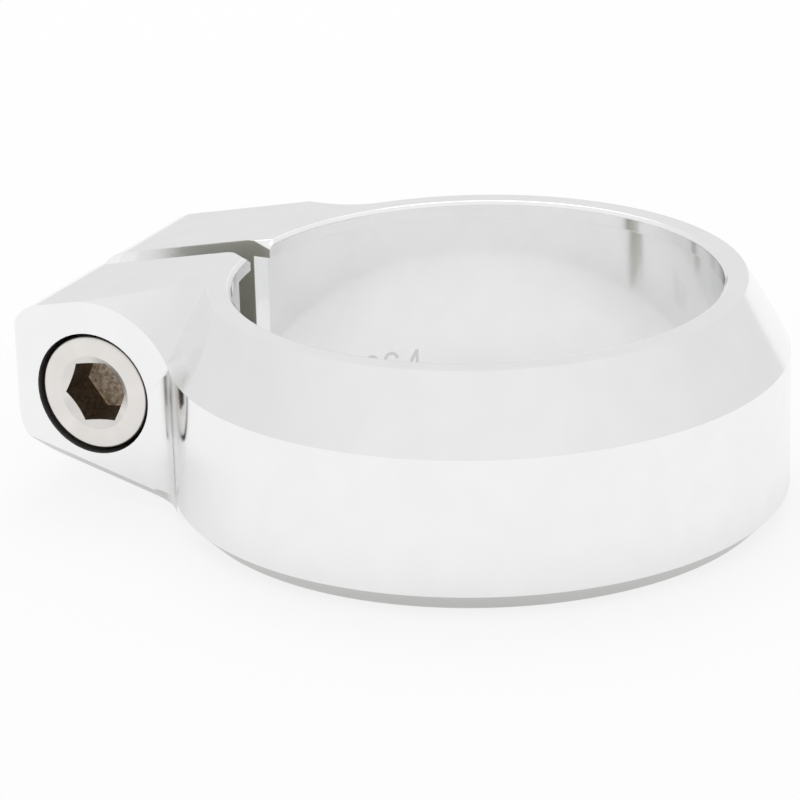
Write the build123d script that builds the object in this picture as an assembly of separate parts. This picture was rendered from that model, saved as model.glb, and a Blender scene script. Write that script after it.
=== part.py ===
# Seatpost clamp: a split collar with two ears, drawn together by one M5 socket screw.
# Millimetres. Origin on the bore axis in the plane of the bottom face, +Z up.
# The ears point along -X, the screw lies along Y with its head towards -Y.
import os
from math import cos, radians, sin, tan

from build123d import *

# Ring
tube_d = 36.4            # outer diameter of the seat tube that the collar grips
height = 16.4            # bottom face to top land
wall = 4.0               # from the gripping bore to the outer wall
lip_depth = 0.7          # the top lip stands this far into the bore and sits on the tube's end
lip_h = 1.2              # height of the lip
top_bevel_w = 3.0        # conical bevel round the top, across
top_bevel_angle = 60.0   # its slope from level, in degrees
low_bevel = 1.35         # bevel round the bottom, across and up
edge = 0.25              # broken edge at both ends of the bore

# Ears
ear_w = 22.8             # across both ears
slot_w = 3.0             # saw cut between the ears
top_slope = 12.0         # the ears fall from the land towards their end, in degrees
low_slope = 15.0         # and rise below,
low_in = 3.2             # from this far inside the outer wall
ear_end = 6.95           # from the screw's axis to the end of the ears
top_corner_r = 3.5       # rounding of the end seen from the side, top
low_corner_r = 5.0       # and bottom
ear_plan_r = 1.5         # rounding of the end seen from above
ear_chamfer = 0.75       # along the lower edges of the ears and of the roundings beside them
web_r = 4.0              # hollow rounding where the ears leave the ring
web_drop = 0.3           # beside the head it stops this far below the ring's bevel
relief_angle = 60.0      # conical relief round the head on the ring's side, from the screw's axis
mouth = 0.6              # broken corner between slot and bore
lip_break_l = 1.3        # broken tip of the lip at the slot: along the slot,
lip_break_w = 1.0        # along the bore
lip_break_h = 0.55       # and down

# Screw, M5 socket head
thread_d = 5.0           # nominal thread
screw_l = 16.0           # under the head
head_d = 8.5             # head
head_h = 5.0             # and its height
head_edge = 0.2          # rounding of the head's rim
hex_af = 4.0             # key size
hex_depth = 2.6          # depth of the socket
hex_mouth_d = 5.4        # countersink at the socket's mouth
hex_mouth_angle = 60.0   # and its slope from the screw's axis, in degrees
hex_turn = 53.0          # how far the socket is turned at rest, in degrees
tip_chamfer = 0.7        # at the end of the thread
screw_out = 3.2          # from the outer wall to the screw's axis
screw_z = 7.98           # height of the screw's axis

# Clearances
head_sink = 0.2          # the head's face lies this far inside the ear's face
head_clear = 0.31        # head in its counterbore, on the radius
shank_clear = 0.25       # shank in the ear with the head, on the radius
thread_clear = 0.06      # thread in the tapped ear, on the radius
seat_clear = 0.03        # under the head
web_sink = 0.02          # how far the hollow rounding reaches into ring and ear
hole_edge = 0.4          # countersink at the outer end of the tapped hole

# Worked out from the sizes above
tube_r = tube_d / 2
lip_r = tube_r - lip_depth
outer_r = tube_r + wall
top_bevel_h = top_bevel_w * tan(radians(top_bevel_angle))
half_w = ear_w / 2
screw_x = outer_r + screw_out
ear_l = screw_x + ear_end
top_x = outer_r - top_bevel_w
low_x = outer_r - low_in
top_fall = tan(radians(top_slope))
low_rise = tan(radians(low_slope))
seat_y = -half_w + head_sink + head_h + seat_clear
foot_z = height - top_bevel_h
corner_x = (outer_r**2 - half_w**2) ** 0.5
# the relief just touches the ear's sloping top
relief_r = (height - (screw_x - top_x) * top_fall - screw_z) * cos(radians(top_slope))
relief_end = screw_x + relief_r * sin(radians(top_slope))
far = 2 * ear_l          # longer than anything here
over = 1.0               # how far a cutter stands out of what it cuts
tol = 0.001

along_screw = Plane(origin=(-screw_x, 0, screw_z), x_dir=(-1, 0, 0), z_dir=(0, 1, 0))
# the rising underside of the ears: x along it, z out of it into the ears
underside = Plane(origin=(-low_x, 0, 0), x_dir=(-1, 0, low_rise), z_dir=(low_rise, 0, 1))


def prism(points, y0, y1):
    """Solid from a closed outline of (distance along the ears, height), between two y."""
    face = make_face(Polyline(*[(-s, y0, z) for s, z in points], close=True))
    return extrude(face, y1 - y0, dir=(0, 1, 0))


def round_bar(radius, y0, y1):
    """Cylinder on the screw's axis between two y."""
    bar = Cylinder(radius, y1 - y0, align=(Align.CENTER, Align.CENTER, Align.MIN))
    return along_screw * Pos(0, 0, y0) * bar


def cone_bar(r0, r1, y0, y1):
    """Cone on the screw's axis, radius r0 at y0 and r1 at y1."""
    bar = Cone(r0, r1, y1 - y0, align=(Align.CENTER, Align.CENTER, Align.MIN))
    return along_screw * Pos(0, 0, y0) * bar


def ring():
    """The collar without ears, bore and slot."""
    profile = Polyline(
        (0, 0, 0),
        (outer_r - low_bevel, 0, 0),
        (outer_r, 0, low_bevel),
        (outer_r, 0, foot_z),
        (outer_r - top_bevel_w, 0, height),
        (0, 0, height),
        close=True,
    )
    return revolve(make_face(profile), Axis.Z)


def bore():
    """What is cut from the middle: gripping bore, lip and broken edges."""
    profile = Polyline(
        (0, 0, -over),
        (tube_r + edge, 0, -over),
        (tube_r + edge, 0, 0),
        (tube_r, 0, edge),
        (tube_r, 0, height - lip_h),
        (lip_r, 0, height - lip_h),
        (lip_r, 0, height - edge),
        (lip_r + edge, 0, height),
        (lip_r + edge, 0, height + over),
        (0, 0, height + over),
        close=True,
    )
    return revolve(make_face(profile), Axis.Z)


def ears():
    """Both ears as one block: side outline and plan outline in one, then the trims."""
    outline = [
        (0, 0),
        (low_x, 0),
        (ear_l, (ear_l - low_x) * low_rise),
        (ear_l, height - (ear_l - top_x) * top_fall),
        (top_x, height),
        (0, height),
    ]
    side = prism(outline, -half_w, half_w)
    for place, radius in ((0, low_corner_r), (-1, top_corner_r)):
        ends = side.edges().filter_by(Axis.Y).filter_by_position(Axis.X, -ear_l - tol, -ear_l + tol)
        side = fillet(ends.sort_by(Axis.Z)[place], radius)
    plan = Pos(-ear_l / 2, 0, 0) * Rectangle(ear_l, ear_w)
    tips = plan.vertices().filter_by_position(Axis.X, -ear_l - tol, -ear_l + tol)
    block = side & extrude(fillet(tips, ear_plan_r), height)

    # lower edges
    for side_y in (-half_w, half_w):
        bar = Rot(45, 0, 0) * Box(far, ear_chamfer * 2**0.5, ear_chamfer * 2**0.5)
        block -= underside * Pos(0, side_y, 0) * bar

    # relief round the head, above the screw and on the ring's side of it
    deep = half_w / 2
    keep = cone_bar(relief_r, relief_r + deep * tan(radians(relief_angle)), -half_w, -half_w + deep)
    trim = Pos(-relief_end / 2, -half_w + deep / 2, screw_z + height / 2) * Box(relief_end, deep, height)
    return block - (trim - keep)


def far_corner(body):
    """Edges between the tapped ear and the ring: down the wall and up the bevel from its foot."""
    foot = Vector(-corner_x, half_w, foot_z)
    picked = []
    for line in body.edges():
        near, other = sorted((line @ 0, line @ 1), key=lambda end: (end - foot).length)
        middle = line @ 0.5
        on_ring = (middle.X**2 + middle.Y**2) ** 0.5 < outer_r + tol
        if (near - foot).length < tol and abs(other.Z - foot_z) > tol and on_ring:
            picked.append(line)
    return picked


def web(way):
    """Rounding beside one ear, from its underside to the foot of the upper bevel; way is the ear's side."""
    ring_r = outer_r - web_sink
    side_y = way * (half_w - web_sink)
    middle_y = side_y + way * web_r
    middle_x = -(((ring_r + web_r) ** 2 - middle_y**2) ** 0.5)
    middle = Vector(middle_x, middle_y, 0)
    on_ring = middle * (ring_r / (ring_r + web_r))
    on_ear = Vector(middle_x, side_y, 0)
    hollow = middle + ((on_ring - middle) + (on_ear - middle)).normalized() * web_r
    inside = Vector(middle_x, side_y - way * wall, 0)
    outline = [ThreePointArc(on_ring, hollow, on_ear), Polyline(on_ear, inside, on_ring)]
    top_z = foot_z - web_drop
    spread = top_z / tan(radians(top_bevel_angle))
    block = extrude(make_face(outline), top_z, dir=(0, 0, 1))
    block &= Cone(outer_r + spread, outer_r, top_z, align=(Align.CENTER, Align.CENTER, Align.MIN))
    block -= underside * Box(far, far, far, align=(Align.CENTER, Align.CENTER, Align.MAX))
    reach = (-middle_x - low_x) / cos(radians(low_slope))
    foot = Cone(web_r + 2 * ear_chamfer, web_r, 2 * ear_chamfer)
    return block - underside * Pos(reach, -middle_y, 0) * foot


def slot():
    """Saw cut, with the corners broken where it opens into the bore."""
    cut = Pos(-far / 2, 0, height / 2) * Box(far, slot_w, 2 * height)
    half = slot_w / 2
    wide = half + 2 * mouth
    flare = make_face(Polyline(
        (0, -wide, -over),
        (-tube_r + mouth, -wide, -over),
        (-tube_r - mouth, -half, -over),
        (-tube_r - mouth, half, -over),
        (-tube_r + mouth, wide, -over),
        (0, wide, -over),
        close=True,
    ))
    return cut + extrude(flare, height - lip_h + over, dir=(0, 0, 1))


def lip_break(way):
    """Corner of the lip at the slot, cut off flat; way is the side of the slot."""
    half = slot_w / 2
    x = -((lip_r**2 - half**2) ** 0.5)
    along = Vector(x - lip_break_l, way * half, height)
    down = Vector(x, way * half, height - lip_break_h)
    y_side = half + lip_break_w
    beside = Vector(-((lip_r**2 - y_side**2) ** 0.5), way * y_side, height)
    normal = (down - along).cross(beside - along) * way
    size = 2 * lip_break_l
    flat = Plane(origin=(along + down + beside) / 3, z_dir=normal)
    return flat * Box(size, size, size, align=(Align.CENTER, Align.CENTER, Align.MIN))


def collar():
    body = ring() + ears()
    body = fillet(far_corner(body), web_r) + web(-1) + web(1) - bore() - slot()
    for way in (-1, 1):
        body -= lip_break(way)
    body -= round_bar(head_d / 2 + head_clear, -far, seat_y)
    body -= round_bar(thread_d / 2 + shank_clear, -far, 0)
    hole_r = thread_d / 2 + thread_clear
    body -= round_bar(hole_r, 0, far)
    body -= cone_bar(hole_r, hole_r + hole_edge, half_w - hole_edge, half_w)
    return body


def screw():
    face_y = -half_w + head_sink
    neck_y = face_y + head_h
    head = round_bar(head_d / 2, face_y, neck_y)
    head = fillet(head.edges().sort_by(Axis.Y)[0], head_edge)
    shank = round_bar(thread_d / 2, neck_y, neck_y + screw_l)
    shank = chamfer(shank.edges().sort_by(Axis.Y)[-1], tip_chamfer)
    key = RegularPolygon(hex_af / 2, 6, major_radius=False, rotation=hex_turn)
    socket = along_screw * Pos(0, 0, face_y) * extrude(key, hex_depth)
    mouth_r = hex_mouth_d / 2
    lead = cone_bar(mouth_r, 0, face_y, face_y + mouth_r / tan(radians(hex_mouth_angle)))
    return head + shank - socket - lead


os.makedirs("parts", exist_ok=True)
for name, solid in (("collar", collar()), ("screw", screw())):
    export_step(solid, f"parts/{name}.step")
    print(name, round(solid.volume, 1), "mm3", len(solid.solids()), "solid", solid.bounding_box())
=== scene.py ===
# %% [markdown]
# A bicycle seatpost clamp is a small machined collar. It sits on the top end of the seat tube, and one
# socket screw pulls its two ears together so that the tube closes on the seatpost.
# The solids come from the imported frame. They already have their true shape and place, so this script only
# dresses them: finishes, the thread of the screw, the size mark in the bore, light, floor and camera.

# %% Load the frame
import math

import bmesh
import bpy
import numpy as np
from mathutils import Matrix, Vector


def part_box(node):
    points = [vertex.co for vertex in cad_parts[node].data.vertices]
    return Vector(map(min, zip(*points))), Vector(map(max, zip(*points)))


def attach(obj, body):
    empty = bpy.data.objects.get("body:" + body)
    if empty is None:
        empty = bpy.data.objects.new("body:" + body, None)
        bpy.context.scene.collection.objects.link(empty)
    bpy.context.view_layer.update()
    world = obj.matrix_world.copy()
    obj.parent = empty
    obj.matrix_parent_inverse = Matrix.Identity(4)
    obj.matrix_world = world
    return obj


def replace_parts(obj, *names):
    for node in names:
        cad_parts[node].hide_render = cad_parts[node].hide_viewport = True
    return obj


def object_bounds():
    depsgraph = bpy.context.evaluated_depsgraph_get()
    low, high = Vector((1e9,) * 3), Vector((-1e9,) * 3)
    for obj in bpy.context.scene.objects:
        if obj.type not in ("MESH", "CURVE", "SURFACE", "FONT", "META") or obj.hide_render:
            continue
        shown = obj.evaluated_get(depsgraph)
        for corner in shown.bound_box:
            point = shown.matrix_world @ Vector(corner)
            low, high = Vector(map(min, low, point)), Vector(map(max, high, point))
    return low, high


MM = 0.001
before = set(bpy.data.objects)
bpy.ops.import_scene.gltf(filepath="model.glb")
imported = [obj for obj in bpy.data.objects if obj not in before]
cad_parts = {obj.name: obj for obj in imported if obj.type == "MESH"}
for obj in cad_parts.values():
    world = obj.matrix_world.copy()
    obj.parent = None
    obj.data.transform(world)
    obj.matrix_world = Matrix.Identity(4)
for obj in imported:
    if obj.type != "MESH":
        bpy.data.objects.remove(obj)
cad_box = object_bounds()


def in_mm(box):
    """The two corners of a box, rounded to hundredths of a millimetre."""
    return [tuple(round(v / MM, 2) for v in corner) for corner in box]


print("nodes:", sorted(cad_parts), "box:", in_mm(cad_box))

# %% [markdown]
# The camera stands where the photographer stood: in front of the screw, a little to its right, looking down
# by about twenty degrees. A long lens from a quarter of a metre keeps the ellipses of the ring flat.
# The place is given by two angles and a distance round a point on the object, which is easier to read than
# three coordinates, and the small roll is turned in last.

# %% Camera
AIM = Vector((-4.23, -4.33, 8.0)) * MM
AZIMUTH = math.radians(26.51)
ELEVATION = math.radians(20.72)
DISTANCE = 269.96 * MM
ROLL = math.radians(-1.656)
LENS_MM = 170.6
SENSOR_MM = 36.0
NEAR, FAR = 10 * MM, 10.0            # nothing nearer or farther is drawn

away = Vector((
    math.sin(AZIMUTH) * math.cos(ELEVATION),
    -math.cos(AZIMUTH) * math.cos(ELEVATION),
    math.sin(ELEVATION),
))
camera = bpy.data.objects.new("camera", bpy.data.cameras.new("camera"))
camera.data.lens = LENS_MM
camera.data.sensor_width = SENSOR_MM
camera.data.clip_start = NEAR
camera.data.clip_end = FAR
turn = (-away).to_track_quat("-Z", "Y").to_matrix().to_4x4() @ Matrix.Rotation(ROLL, 4, "Z")
camera.matrix_world = Matrix.Translation(AIM + away * DISTANCE) @ turn
bpy.context.scene.collection.objects.link(camera)
bpy.context.scene.camera = camera
bpy.context.scene.view_settings.view_transform = "Standard"
print("camera at", [round(v / MM, 1) for v in camera.matrix_world.translation], "mm")

# %% [markdown]
# A finish is a formula over the surface, so it should read like one. The class below wraps one socket of a
# shader tree. Plus, minus, times and power add a Math node and hand back its output, also with the number in
# front, as in 1 - mask. A mask is a number from 0 to 1 over the surface: rise and fall make one from a smooth
# step, and a product of steps marks out a place. Every other node comes from one method that takes the
# node's kind, its settings and its sockets.

# %% Shader maths
class Wire:
    """A shader socket that works in formulas; each operation adds one node to the socket's tree."""

    def __init__(self, tree, socket=None):
        self.tree = tree
        self.socket = socket

    def node(self, kind, settings, sockets, out=0):
        """Adds a node: its settings first (stops fill a ramp), then values or wires for its sockets."""
        made = self.tree.nodes.new("ShaderNode" + kind)
        for name, value in settings.items():
            if name == "stops":
                while len(made.color_ramp.elements) < len(value):
                    made.color_ramp.elements.new(0.5)
                for element, (place, grey) in zip(made.color_ramp.elements, value):
                    element.position = place
                    element.color = (grey, grey, grey, 1)
            else:
                setattr(made, name, value)
        for name, value in sockets.items():
            if isinstance(value, Wire):
                self.tree.links.new(value.socket, made.inputs[name])
            else:
                made.inputs[name].default_value = value
        return Wire(self.tree, made.outputs[out]) if made.outputs else None

    def math(self, operation, *values):
        return self.node("Math", {"operation": operation}, dict(enumerate(values)))

    def __add__(self, other):
        return self.math("ADD", self, other)

    def __radd__(self, other):
        return self.math("ADD", other, self)

    def __sub__(self, other):
        return self.math("SUBTRACT", self, other)

    def __rsub__(self, other):
        return self.math("SUBTRACT", other, self)

    def __mul__(self, other):
        return self.math("MULTIPLY", self, other)

    def __rmul__(self, other):
        return self.math("MULTIPLY", other, self)

    def __pow__(self, other):
        return self.math("POWER", self, other)

    def length(self, other):
        """Distance from the origin of the point (self, other)."""
        return (self ** 2 + other ** 2) ** 0.5

    def rise(self, low, high):
        """Mask: 0 up to low, 1 from high on, and a smooth step from one to the other."""
        settings = {"interpolation_type": "SMOOTHSTEP"}
        return self.node("MapRange", settings, {"Value": self, "From Min": low, "From Max": high})

    def fall(self, low, high):
        """Mask: 1 up to low, 0 from high on, and a smooth step from one to the other."""
        return 1 - self.rise(low, high)


MIX_SOCKETS = {"RGBA": (6, 7, 2), "VECTOR": (4, 5, 1)}   # the node's two inputs and its output, by kind
MIDDLE = 0.5                                             # of a noise


def start_finish(name):
    """A new material with an empty tree, and a wire to build its nodes from."""
    material = bpy.data.materials.new(name)
    material.use_nodes = True
    material.node_tree.nodes.clear()
    return material, Wire(material.node_tree)


def close_finish(material, tree, sockets):
    """Ends a finish with a Principled shader that takes these sockets."""
    shader = tree.node("BsdfPrincipled", {}, sockets)
    tree.node("OutputMaterial", {}, {"Surface": shader})
    print("finish", material.name, "has", len(tree.tree.nodes), "nodes")
    return material


def place_in_mm(tree):
    """x, y and z of the surface point in millimetres, in the frame of the part."""
    point = tree.node("TexCoord", {}, {}, "Object")
    scaled = tree.node("VectorMath", {"operation": "SCALE"}, {0: point, "Scale": 1 / MM})
    return [tree.node("SeparateXYZ", {}, {0: scaled}, axis) for axis in "XYZ"]


def vector(tree, x, y, z):
    return tree.node("CombineXYZ", {}, {"X": x, "Y": y, "Z": z})


def noise(tree, place, scale, detail=2.0, rough=0.5):
    """Soft noise from 0 to 1 over a place."""
    return tree.node("TexNoise", {}, {"Vector": place, "Scale": scale, "Detail": detail, "Roughness": rough})


def blend(tree, mask, low, high, kind="RGBA"):
    """Colour or vector low where mask is 0, and high where it is 1."""
    first, second, result = MIX_SOCKETS[kind]
    return tree.node("Mix", {"data_type": kind}, {0: mask, first: low, second: high}, result)


print("shader maths ready")

# %% [markdown]
# New pieces are skins over a grid of points. The columns of the grid run once round an axis and close on
# themselves, and the rows run along it. A row may also climb: after one round it then ends in another row,
# which is how a thread is wound. Where a row has shrunk to a point, or rows lie on each other, their equal
# points become one, and so the skin is closed.

# %% Skins
WELD = 0.0005 * MM                   # points nearer than this are one
SHARP = math.radians(30)             # edges bent by more than this stay sharp


def close_skin(mesh):
    """Welds equal points, turns the faces outward and shades smooth between sharp edges."""
    work = bmesh.new()
    work.from_mesh(mesh)
    bmesh.ops.remove_doubles(work, verts=work.verts, dist=WELD)
    bmesh.ops.recalc_face_normals(work, faces=work.faces)
    loose = sum(1 for line in work.edges if len(line.link_faces) != 2)
    work.to_mesh(mesh)
    work.free()
    mesh.shade_smooth()
    mesh.set_sharp_from_angle(angle=SHARP)
    print("skin", mesh.name, "has", len(mesh.polygons), "faces and", loose, "open edges")
    return mesh


def skin(name, grid, wrap=None):
    """Closed mesh over grid[row, column] = (x, y, z) in mm; row i ends on the first point of row wrap[i]."""
    rows, columns = grid.shape[:2]
    number = np.arange(rows * columns).reshape(rows, columns)
    ends = number[np.arange(rows) if wrap is None else wrap, 0]
    ring = np.column_stack([number, ends])
    quads = np.stack([ring[:-1, :-1], ring[:-1, 1:], ring[1:, 1:], ring[1:, :-1]], axis=-1)
    mesh = bpy.data.meshes.new(name)
    mesh.from_pydata((grid.reshape(-1, 3) * MM).tolist(), [], quads.reshape(-1, 4).tolist())
    return close_skin(mesh)


def piece(mesh, finish, body):
    """An object for the mesh, in the frame's own place, that rides a body."""
    made = bpy.data.objects.new(mesh.name, mesh)
    mesh.materials.append(finish)
    bpy.context.scene.collection.objects.link(made)
    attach(made, body)
    return made


print("skins ready")

# %% [markdown]
# All round pieces lie on the screw's axis. A point of theirs is given by its depth behind the screw's face,
# its distance from the axis and the angle round it, counted from +X towards +Z. One column of the grid lies
# on every corner of the hexagon, so the socket's corners stay sharp.

# %% Screw's axis
low, high = [np.array(corner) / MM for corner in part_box("screw")]
AXIS_X, FACE_Y, AXIS_Z = (low[0] + high[0]) / 2, low[1], (low[2] + high[2]) / 2
LENGTH = high[1] - low[1]
COLUMNS = 96
HEX_CORNER = math.radians(7.0)       # angle of one corner of the hexagon
PITCH = 0.8                          # of an M5 thread
ROUND = np.arange(COLUMNS) / COLUMNS
ANGLE = HEX_CORNER + 2 * math.pi * ROUND


def around(depth, radius):
    """Points round the screw's axis: x = r cos a, z = r sin a from the axis, and y = the face + depth."""
    depth, radius = np.broadcast_arrays(depth, radius)
    return np.stack([
        AXIS_X + radius * np.cos(ANGLE),
        FACE_Y + depth,
        AXIS_Z + radius * np.sin(ANGLE),
    ], axis=-1)


print("screw's axis at x", round(AXIS_X, 2), "z", round(AXIS_Z, 2), "face at y", round(FACE_Y, 2), "mm")

# %% [markdown]
# The thread is wound row by row. Four rows make one pitch: both edges of the crest, then both edges of the
# root. Along each row the depth falls by one pitch in a round, so the flanks follow the lines of the grid and
# stay crisp. Rows that would leave the threaded length lie on its end. The groove fades in over one pitch,
# and at the tip a chamfer takes the crests off.

# %% Thread of the screw
THREAD_START = 5.8                               # depth behind the face
CREST_R, ROOT_R = 2.48, 2.02
CREST, ROOT = (0, 1 / 8), (7 / 16, 11 / 16)      # edges, in parts of the pitch
ROWS_A_TURN = len(CREST + ROOT)
SPARE_TURNS = 4                                  # so that the last rows reach the end all round
TIP = 0.7                                        # chamfer


def thread_rows(start, end):
    """(depth, radius, wrap) of a right-hand thread: depth = start + pitch (phase - 1 - part of a round)."""
    turns = math.ceil((end - start) / PITCH) + SPARE_TURNS
    phase = (np.arange(turns)[:, None] + np.array(CREST + ROOT)).ravel()
    groove = np.tile([0, 0, 1, 1], turns)[:, None]
    depth = np.clip(start + PITCH * (phase[:, None] - 1 - ROUND), start, end)
    fade = np.clip((depth - start) / PITCH, 0, 1)
    radius = CREST_R - fade * groove * (CREST_R - ROOT_R)
    radius = np.minimum(radius, CREST_R - np.maximum(depth - (end - TIP), 0))
    return depth, radius, np.maximum(np.arange(len(phase)) - ROWS_A_TURN, 0)


thread = thread_rows(THREAD_START, LENGTH)
print("thread:", len(thread[0]), "rows")

# %% [markdown]
# The screw is one skin from the bottom of its socket, over the head and down to the tip. The mouth of the
# socket is a cone, and it ends on the flats of the hexagon deeper than on the corners:
# depth = (mouth radius - hexagon radius) / tan of the cone's angle.

# %% Screw
HEX_AF, HEX_DEPTH = 4.3, 3.5                     # socket: width across flats, and depth
PIT_R, PIT_H = 1.75, 0.35                        # hollow in its bottom
MOUTH_R, MOUTH_ANGLE = 2.78, math.radians(60)    # cone at its mouth
FACE_R, BAND_R, BAND_FALL = 3.2, 3.72, 0.03      # the face is flat as far as the band, which falls away
RIM = np.linspace(0, math.pi / 2, 5)             # angles of the rounded rim
RIM_R = 0.2
HEAD_R, HEAD_H, HEAD_EDGE = 4.25, 5.0, 0.15
NECK_R, NECK_H = 2.6, 0.12                       # under the head


def screw_grid():
    """Rows of (depth, radius) over the whole screw; the hexagon is af / 2 / cos of the angle off a flat."""
    off_flat = np.mod(ANGLE - HEX_CORNER, math.pi / 3) - math.pi / 6
    hexagon = HEX_AF / 2 / np.cos(off_flat)
    cone_end = (MOUTH_R - hexagon) / math.tan(MOUTH_ANGLE)
    rows = [(HEX_DEPTH + PIT_H, 0), (HEX_DEPTH, PIT_R), (HEX_DEPTH, hexagon), (cone_end, hexagon)]
    rows += [(0, MOUTH_R), (0, FACE_R), (0, BAND_R)]
    rows += [(BAND_FALL + RIM_R * (1 - math.cos(a)), HEAD_R - RIM_R * (1 - math.sin(a))) for a in RIM]
    rows += [(HEAD_H - HEAD_EDGE, HEAD_R), (HEAD_H, HEAD_R - HEAD_EDGE)]
    rows += [(HEAD_H, NECK_R), (HEAD_H + NECK_H, CREST_R)]
    top = np.stack([around(depth, radius * np.ones(COLUMNS)) for depth, radius in rows])
    depth, radius, wrap = thread
    end = around(LENGTH, np.zeros((1, COLUMNS)))
    first, last = len(top), len(top) + len(depth)
    wrap = np.concatenate([np.arange(first), first + wrap, [last]])
    return np.concatenate([top, around(depth, radius), end]), wrap


screw_mesh = skin("screw_skin", *screw_grid())

# %% [markdown]
# The tapped hole shows a little more than one turn of its own thread behind the screw's tip. It is a thin
# sleeve in the wall of the hole. Its outside lies in the metal, and its inside goes up and down with the
# thread: r = wall - height * wave(depth / pitch + part of a round).

# %% Thread of the tapped hole
HOLE_R, SLEEVE_R, TAP_H = 2.56, 2.62, 0.42
TAP_START, TAP_END, TAP_ROWS = LENGTH + 0.15, LENGTH + 1.2, 43
TAP_FADE = 0.2 * PITCH               # length over which it grows out of the wall


def tap_grid():
    """Sleeve: the threaded inside, then the plain outside back; wave = 1.5 - 4 |phase - 1/2|, cut to 0..1."""
    depth = np.linspace(TAP_START, TAP_END, TAP_ROWS)[:, None]
    phase = np.mod(depth / PITCH + ROUND, 1)
    wave = np.clip(1.5 - np.abs(phase - 0.5) * 4, 0, 1)
    ends = np.clip(np.minimum(depth - TAP_START, TAP_END - depth) / TAP_FADE, 0, 1)
    inside = around(depth, HOLE_R - TAP_H * wave * ends)
    outside = around(np.array([[TAP_END], [TAP_START]]), SLEEVE_R * np.ones((2, COLUMNS)))
    return np.concatenate([inside, outside, inside[:1]])


tap_mesh = skin("tapped_thread", tap_grid())

# %% [markdown]
# The clamp size is marked low in the bore. Each figure is one or two strokes, and each stroke is a thin flat
# bar carried along its middle line: arcs for the round figures, straight runs for the 4. The bars are then
# bent on to the bore, where across becomes the angle, up becomes z and the thickness becomes the radius.

# %% Size mark in the bore
BORE_R = 18.2
MARK_ANGLE = math.radians(136.47)    # middle of the mark, round the bore
MARK_H, MARK_Z, STROKE_W = 2.2, 2.43, 0.24
MARK_OUT, MARK_IN = 0.02, 0.03       # how far it stands out of the wall, and into it
ARC_POINTS = 25


def arc(middle, size, first, last):
    """Points of an ellipse from one angle to another, in degrees: middle + size (cos a, sin a)."""
    angle = np.radians(np.linspace(first, last, ARC_POINTS))
    return np.column_stack([middle[0] + size[0] * np.cos(angle), middle[1] + size[1] * np.sin(angle)])


# The middle lines, and then the place of each, are all in heights of a figure.
THREE = np.concatenate([
    arc((0.25, 0.74), (0.24, 0.25), 150, -90),
    arc((0.25, 0.25), (0.25, 0.24), 85, -150),
])
SIX = np.concatenate([
    arc((0.25, 0.68), (0.24, 0.31), 20, 175),
    arc((0.25, 0.27), (0.24, 0.26), 180, 540),
])
POINT = np.array([(0.05, 0.0), (0.05, 0.11)])
FOUR = np.array([(0.36, 1.0), (0.0, 0.3), (0.5, 0.3)])
STEM = np.array([(0.36, 1.0), (0.36, 0.0)])
STROKES = [(0.00, THREE), (0.76, SIX), (1.42, POINT), (1.59, FOUR), (1.59, STEM)]
MARK_W = 2.09                        # of all figures together


def stroke_grid(place, line):
    """Bar along a line, bent on to the bore: a = middle - across / bore radius, and r = bore radius - out."""
    run = np.gradient(line, axis=0)
    side = np.column_stack([-run[:, 1], run[:, 0]]) / np.hypot(*run.T)[:, None] * STROKE_W / 2 / MARK_H
    left, right = line + side, line - side
    flat = np.stack([left, right, right, left], axis=1)
    flat = np.concatenate([np.broadcast_to(line[0], (1, 4, 2)), flat, np.broadcast_to(line[-1], (1, 4, 2))])
    out = np.broadcast_to([MARK_OUT, MARK_OUT, -MARK_IN, -MARK_IN], flat.shape[:2])
    angle = MARK_ANGLE - (place + flat[..., 0] - MARK_W / 2) * MARK_H / BORE_R
    radius = BORE_R - out
    return np.stack([radius * np.cos(angle), radius * np.sin(angle), MARK_Z + flat[..., 1] * MARK_H], axis=-1)


def mark_mesh():
    """All strokes in one mesh."""
    work = bmesh.new()
    for number, stroke in enumerate(STROKES):
        work.from_mesh(skin(f"stroke_{number}", stroke_grid(*stroke)))
    mesh = bpy.data.meshes.new("size_mark")
    work.to_mesh(mesh)
    work.free()
    return mesh


size_mesh = mark_mesh()
print("size mark:", len(size_mesh.polygons), "faces")

# %% [markdown]
# The collar is machined from aluminium and polished, but not every place of it looks the same. The saw cut
# is rough. The counterbore is painted nearly black, painted shade for its deep narrow gap, and the bevels
# round the bottom and under the ears, which face the floor, are painted grey, painted shade for the shadowed
# floor that they mirror. The hollow beside the near ear is painted darker towards its top, a painted
# reflection: a dark streak laid over the screw's mirror image there. The foot of the bevel above it and the
# broken edge of the lip, at its left and right ends, are matt. Only the edges near the bore and the slot are
# worn.
# Each place is a product of steps. A pair below says where a step begins and where it ends, in millimetres
# along x, y or z, along the radius round the bore, or from a point.

# %% Places on the collar
TOP_Z = cad_box[1][2] / MM
SAW_X, SAW_Y, SAW_FADE = (17.0, 17.2), (1.51, 1.54), (21.0, 29.0)
# Counterbore round the screw's head; its wall is painted nearly black, painted shade for the deep gap.
SINK_R, SINK_Y, SINK_END = (4.60, 4.64), (-11.39, -11.37), (-5.0, -4.0)
# Bevels round the bottom and under the ears; they face the floor and are painted grey, painted shade for the
# shadowed floor they mirror.
BEVEL_Z, BEVEL_R = (1.33, 1.37), (20.80, 20.86)
EARS_X, EARS_Y = (18.2, 18.4), (11.40, 11.44)    # no bevel of the ring under the ears
UNDER_X, UNDER_RISE = 19.0, 0.268                # where the ears' underside begins, and how it rises
CHAMFER_X, CHAMFER_Y, CHAMFER_Z = (19.0, 19.2), (10.60, 10.66), (0.76, 0.80)
CORNER_X, CORNER_Y = -19.0, -12.0                # where the near ear leaves the ring
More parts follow.
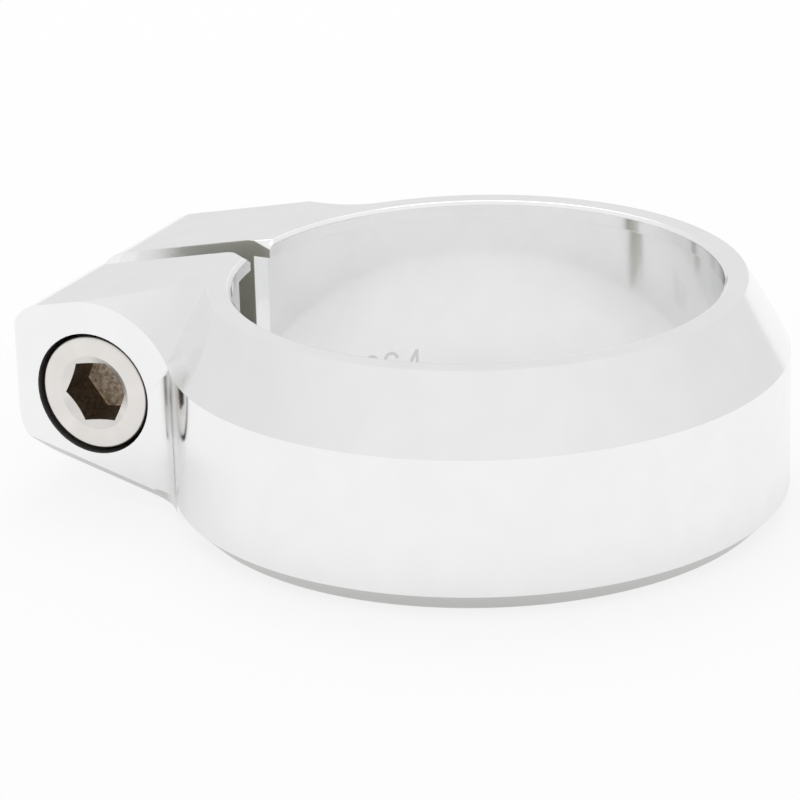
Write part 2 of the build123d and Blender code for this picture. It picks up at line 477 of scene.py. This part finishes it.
# Hollow beside the near ear, where a painted dark streak stands in for the screw's reflection.
HOLLOW_R, HOLLOW_Y, HOLLOW_Z = (3.6, 6.2), (-12.2, -11.6), (11.10, 11.25)
FOOT_R, FOOT_X, FOOT_Y = (3.5, 7.0), (-19.5, -18.5), (-12.2, -11.2)
FOOT_Z, FOOT_TOP = (11.15, 11.25), (12.0, 13.5)
LIP_R, LIP_Z = (17.76, 17.80), (TOP_Z - 0.32, TOP_Z - 0.28)
LIP_LEFT, LIP_RIGHT, LIP_FAR = (-16.0, -12.0), (8.0, 12.0), (4.0, 8.0)
WORN_R, WORN_Y = (19.0, 19.2), (2.4, 2.6)


def collar_masks(x, y, z):
    """Masks of the places on the collar, by name."""
    radius, back, beside = x.length(y), 0 - x, y.math("ABSOLUTE", y)
    from_screw = (x - AXIS_X).length(z - AXIS_Z)
    from_corner = (x - CORNER_X).length(y - CORNER_Y)
    slotted = back.rise(*SAW_X)
    under_ears = back.rise(*EARS_X) * beside.fall(*EARS_Y)
    turned = z.fall(*BEVEL_Z) * radius.rise(*BEVEL_R) * (1 - under_ears)
    above = z + (x + UNDER_X) * UNDER_RISE
    milled = above.fall(*CHAMFER_Z) * beside.rise(*CHAMFER_Y) * back.rise(*CHAMFER_X)
    foot = from_corner.fall(*FOOT_R) * z.rise(*FOOT_Z) * z.fall(*FOOT_TOP)
    ends = x.fall(*LIP_LEFT) + x.rise(*LIP_RIGHT) * y.fall(*LIP_FAR)
    return {
        "sawn": slotted * beside.fall(*SAW_Y) * back.fall(*SAW_FADE),
        "sunk": from_screw.fall(*SINK_R) * y.rise(*SINK_Y) * y.fall(*SINK_END),
        "shaded_bevels": turned.math("MAXIMUM", turned, milled),
        "hollow": from_corner.fall(*HOLLOW_R) * y.fall(*HOLLOW_Y) * z.fall(*HOLLOW_Z),
        "foot": foot * x.rise(*FOOT_X) * y.fall(*FOOT_Y),
        "lip": radius.fall(*LIP_R) * z.rise(*LIP_Z) * ends,
        "worn": 1 - radius.rise(*WORN_R) * (1 - slotted * beside.fall(*WORN_Y)),
    }


print("places on the collar ready, top at z", round(TOP_Z, 2), "mm")

# %% [markdown]
# Polish leaves the aluminium almost a mirror: the screw shows again in the hollow beside the ear. What is
# left of the machining are very fine rings round the bore axis on the ring, and fine straight lines on the
# ears. They change the gloss a little and hardly the shape, so they feed the roughness and a weak bump.

# %% Aluminium of the collar
EARS = (21.2, 22.7)                  # distance behind the bore axis where straight lines take over from rings
LINES_PER_MM, DRIFT = 9.0, 0.2       # of the lines, and how much they change along y
LINE_GLOSS, CLOUD_GLOSS = 0.05, 0.04
CLOUD_SCALE, CLOUD_STEP = 0.35, (0.3, 0.7)
POLISHED = (0.908, 0.912, 0.910, 1), (0.928, 0.931, 0.929, 1)
# The second tone below is painted shade: the counterbore's wall nearly black, for the shade in its deep
# narrow gap.
SAWN, COUNTERBORE_SHADE, BEVEL_SHADE = (0.74, 0.74, 0.69, 1), (0.34, 0.33, 0.32, 1), (0.66, 0.66, 0.65, 1)
# Painted reflection: the hollow beside the ear goes from the lighter tone to the darker one on the way up, a
# dark streak laid over the screw's mirror image.
PAINTED_STREAK = (0.86, 0.86, 0.855, 1), (0.56, 0.56, 0.56, 1)
PAINTED_STREAK_STEP = (4.0, 9.5)               # from the first of these tones to the second, on the way up
ROUGHER = {"sawn": 0.30, "sunk": 0.40, "hollow": 0.08, "foot": 0.25, "lip": 0.45, "shaded_bevels": 0.15}
EDGE_R = 0.10 * MM                   # how wide a worn edge catches the light
EDGE_SAMPLES = 6
BUMP, BUMP_H = 0.03, 0.01 * MM


def aluminium(name, polish):
    """Polished aluminium; polish is its mean roughness."""
    material, tree = start_finish(name)
    x, y, z = place_in_mm(tree)
    masks = collar_masks(x, y, z)
    radius, on_ear = x.length(y), (0 - x).rise(*EARS)
    across = radius + on_ear * (x - radius)
    lay = vector(tree, across * LINES_PER_MM, z * LINES_PER_MM, on_ear * y * DRIFT)
    lines = noise(tree, lay, 1.0, rough=0.6)
    cloud = noise(tree, vector(tree, x, y, z), CLOUD_SCALE, detail=3.0)
    shade = blend(tree, cloud.rise(*CLOUD_STEP), *POLISHED)
    # Painted reflection: the dark streak of the screw's mirror image in the hollow, darker towards its top.
    painted_streak = blend(tree, z.rise(*PAINTED_STREAK_STEP), *PAINTED_STREAK)
    # The bevels' grey tone is painted shade, standing in for the shadowed floor that these downward faces
    # mirror.
    for place, tone in (("sawn", SAWN), ("sunk", COUNTERBORE_SHADE), ("shaded_bevels", BEVEL_SHADE), ("hollow", painted_streak)):
        shade = blend(tree, masks[place], shade, tone)
    gloss = polish + (lines - MIDDLE) * LINE_GLOSS + (cloud - MIDDLE) * CLOUD_GLOSS
    for place, rougher in ROUGHER.items():
        gloss = gloss + masks[place] * rougher
    plain = tree.node("NewGeometry", {}, {}, "Normal")
    edges = tree.node("Bevel", {"samples": EDGE_SAMPLES}, {"Radius": EDGE_R})
    normal = blend(tree, masks["worn"], plain, edges, "VECTOR")
    bump = tree.node("Bump", {}, {"Strength": BUMP, "Distance": BUMP_H, "Height": lines, "Normal": normal})
    return close_finish(material, tree, {
        "Base Color": shade,
        "Metallic": 1.0,
        "Roughness": gloss,
        "Normal": bump,
    })


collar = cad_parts["collar"]
collar.data.materials.clear()
collar_finish = aluminium("polished_aluminium", polish=0.10)
collar.data.materials.append(collar_finish)

# %% [markdown]
# The screw is plain stainless steel. Its face was turned, which leaves fine rings round the axis, and a
# narrow band along the rim falls away a little. Broad sectors of painted sheen make the face lighter and
# darker
# round the axis. The socket was punched: its walls are rough and painted dark brown, painted shade deep
# inside the socket, and the bottom is a grainy bronze where light gets in.

# %% Steel of the screw
INSIDE_R, INSIDE_END = (MOUTH_R - 0.04, MOUTH_R), (HEAD_H - 0.6, HEAD_H - 0.4)
CONE_END = (MOUTH_R + 0.03, MOUTH_R + 0.09)      # the cone at the mouth is still bright
BOTTOM = (HEX_DEPTH - 0.15, HEX_DEPTH - 0.05)
RINGS_PER_MM, RINGS_DEEP = 16.0, 6.0             # along the radius, and along the axis
GRAIN_SCALE, GRAIN_STEP, GRAIN_BUMP = 3.2, (0.35, 0.65), 4.0
# Painted sheen: broad sectors of the face are painted lighter and darker, a painted highlight of the turned
# face.
SHEEN_SCALE, SHEEN_DRIFT = 2.2, 0.1              # broad sectors of the face, and their change outward
RING_SHARE = 0.4                                 # of the rings in the steel's tone; the rest is sheen
STEEL = (0.71, 0.685, 0.655, 1), (0.90, 0.878, 0.85, 1)
# Painted shade: the socket's walls are painted dark brown for the shade deep inside the socket.
SOCKET_SHADE = (0.10, 0.078, 0.055, 1), (0.22, 0.17, 0.12, 1)
BRONZE = (0.55, 0.41, 0.30, 1), (1.0, 0.89, 0.74, 1)
STEEL_GLOSS, RING_GLOSS = 0.24, 0.08
WALL_GLOSS, GRAIN_GLOSS = 0.30, 0.15             # rougher than the steel by so much
STEEL_BUMP = 0.12


def stainless(name):
    """Turned steel; masks by depth and radius pick out the socket's walls and its bottom."""
    material, tree = start_finish(name)
    x, y, z = place_in_mm(tree)
    right, up = x - AXIS_X, z - AXIS_Z
    radius, depth, turn = right.length(up), y - FACE_Y, up.math("ARCTAN2", up, right)
    inside = radius.fall(*INSIDE_R) * depth.fall(*INSIDE_END)
    socket = inside * (radius + depth * math.tan(MOUTH_ANGLE)).rise(*CONE_END)
    bottom = inside * depth.rise(*BOTTOM)
    lathe = vector(tree, radius * RINGS_PER_MM, depth * RINGS_DEEP, 0.0)
    rings = noise(tree, lathe, 1.0, detail=3.0, rough=0.6)
    grain = noise(tree, vector(tree, x, y, z), GRAIN_SCALE, detail=5.0, rough=0.7)
    sector = vector(tree, turn.math("COSINE", turn), turn.math("SINE", turn), radius * SHEEN_DRIFT)
    # Painted sheen, in sectors round the axis.
    painted_sheen = noise(tree, sector, SHEEN_SCALE)
    speck = grain.rise(*GRAIN_STEP)
    steel = blend(tree, rings * RING_SHARE + painted_sheen * (1 - RING_SHARE), *STEEL)
    # The socket's walls take the painted shade.
    shade = blend(tree, socket, steel, blend(tree, speck, *SOCKET_SHADE))
    shade = blend(tree, bottom, shade, blend(tree, speck, *BRONZE))
    gloss = STEEL_GLOSS + (rings - MIDDLE) * RING_GLOSS + socket * (WALL_GLOSS + GRAIN_GLOSS * grain)
    height = rings + socket * (grain * GRAIN_BUMP - rings)
    bump = tree.node("Bump", {}, {"Strength": STEEL_BUMP, "Distance": BUMP_H, "Height": height})
    return close_finish(material, tree, {
        "Base Color": shade,
        "Metallic": 1.0,
        "Roughness": gloss,
        "Normal": bump,
    })


steel_finish = stainless("turned_stainless")
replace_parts(piece(screw_mesh, steel_finish, "screw"), "screw")
piece(tap_mesh, collar_finish, "collar")

# %% [markdown]
# The figures were burnt in by a laser, which leaves the metal matt and a little darker.

# %% Mark
MARK_GRAIN = 12.0
MARKED = (0.70, 0.705, 0.705, 1), (0.80, 0.805, 0.805, 1)
MARK_GLOSS, MARK_GRAIN_GLOSS = 0.22, 0.1

mark_finish, tree = start_finish("laser_mark")
grain = noise(tree, vector(tree, *place_in_mm(tree)), MARK_GRAIN)
close_finish(mark_finish, tree, {
    "Base Color": blend(tree, grain, *MARKED),
    "Metallic": 1.0,
    "Roughness": MARK_GLOSS + grain * MARK_GRAIN_GLOSS,
})
piece(size_mesh, mark_finish, "collar")

# %% [markdown]
# The floor is a plain pale sheet. It gives back part of its light by itself, to the camera and to the mirror
# of the metal, so it stays white there, and the rest by shading, so the clamp still has its soft shadow.

# %% Floor
FLOOR_HALF = 1.5
FLOOR_Z = -0.02 * MM
PAPER, WHITE = (0.93, 0.93, 0.93, 1), (1, 1, 1, 1)
GLOW, MIRRORED_GLOW = 0.78, 0.48     # seen by the camera, and in the metal

floor_mesh = bpy.data.meshes.new("floor")
signs = (-1, -1), (1, -1), (1, 1), (-1, 1)
corners = [(sx * FLOOR_HALF, sy * FLOOR_HALF, FLOOR_Z) for sx, sy in signs]
floor_mesh.from_pydata(corners, [], [(0, 1, 2, 3)])
floor = bpy.data.objects.new("floor", floor_mesh)
bpy.context.scene.collection.objects.link(floor)

paper, tree = start_finish("white_paper")
seen = tree.node("LightPath", {}, {}, "Is Camera Ray")
mirrored = tree.node("LightPath", {}, {}, "Is Glossy Ray")
matt = tree.node("BsdfDiffuse", {}, {"Color": PAPER})
glow = tree.node("Emission", {}, {"Color": WHITE, "Strength": 1.0})
mixed = tree.node("MixShader", {}, {0: seen * GLOW + mirrored * MIRRORED_GLOW, 1: matt, 2: glow})
tree.node("OutputMaterial", {}, {"Surface": mixed})
floor_mesh.materials.append(paper)
print("floor made,", 2 * FLOOR_HALF, "m wide")

# %% [markdown]
# The studio is white all round and a little brighter overhead, so that level faces and upright ones differ
# in the metal. The camera itself sees plain white behind the object. One large soft lamp above and behind
# gives the shadow its side.

# %% Studio
SKY = [(0.0, 0.80), (0.35, 0.815), (0.60, 0.885), (1.0, 0.93)]   # sine of the height, and brightness there
LAMP_AT = Vector((-120, 180, 420)) * MM
LAMP_SIZE, LAMP_POWER = 260 * MM, 0.35

world = bpy.data.worlds.new("studio")
bpy.context.scene.world = world
world.use_nodes = True
world.node_tree.nodes.clear()
tree = Wire(world.node_tree)
direction = tree.node("TexCoord", {}, {}, "Generated")
upward = tree.node("SeparateXYZ", {}, {0: direction}, "Z")
seen = tree.node("LightPath", {}, {}, "Is Camera Ray")
backdrop = blend(tree, seen, tree.node("ValToRGB", {"stops": SKY}, {0: upward}), WHITE)
light = tree.node("Background", {}, {"Color": backdrop, "Strength": 1.0})
tree.node("OutputWorld", {}, {"Surface": light})

lamp = bpy.data.lights.new("top_lamp", "AREA")
lamp.size = LAMP_SIZE
lamp.energy = LAMP_POWER
holder = bpy.data.objects.new("top_lamp", lamp)
holder.location = LAMP_AT
holder.rotation_mode = "QUATERNION"
holder.rotation_quaternion = (-LAMP_AT).to_track_quat("-Z", "Y")
bpy.context.scene.collection.objects.link(holder)
print("studio with", len(SKY), "tones of sky and", holder.name)
